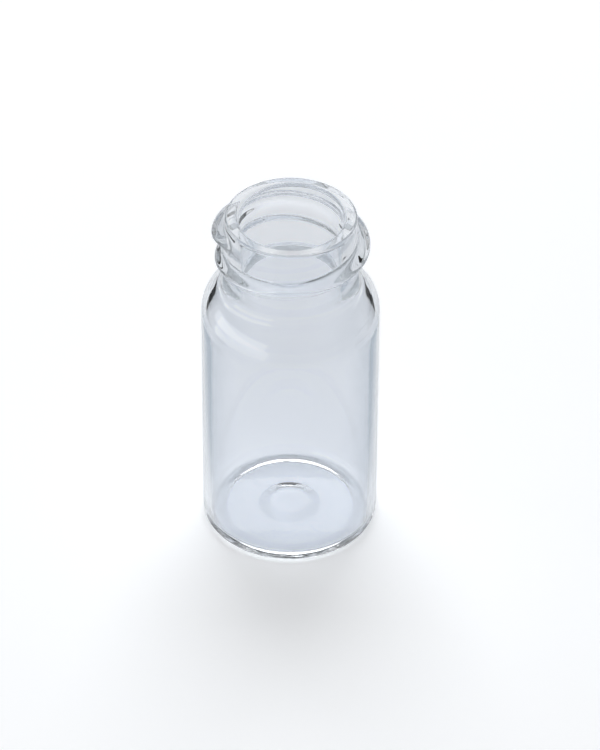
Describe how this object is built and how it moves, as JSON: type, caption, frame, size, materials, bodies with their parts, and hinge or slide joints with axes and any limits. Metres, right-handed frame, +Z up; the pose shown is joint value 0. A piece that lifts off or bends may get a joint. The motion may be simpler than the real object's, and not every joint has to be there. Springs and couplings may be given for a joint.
{
  "type": "glass sample vial",
  "caption": "Short clear glass sample vial with a rounded shoulder, a thick neck with a right-hand outside screw thread, and a fire-polished open mouth.",
  "frame": {"origin": "centre of the standing ring, in the plane that the vial stands on", "axes": "+Z up the vial's axis and out of the mouth; the upper end of the thread lies 210 degrees round from +X"},
  "size_m": [0.02, 0.02, 0.042],
  "materials": {
    "clear_glass": "clear, drawn and fire polished"
  },
  "bodies": {
    "root": {"vial": "clear_glass"}
  },
  "joints": []
}
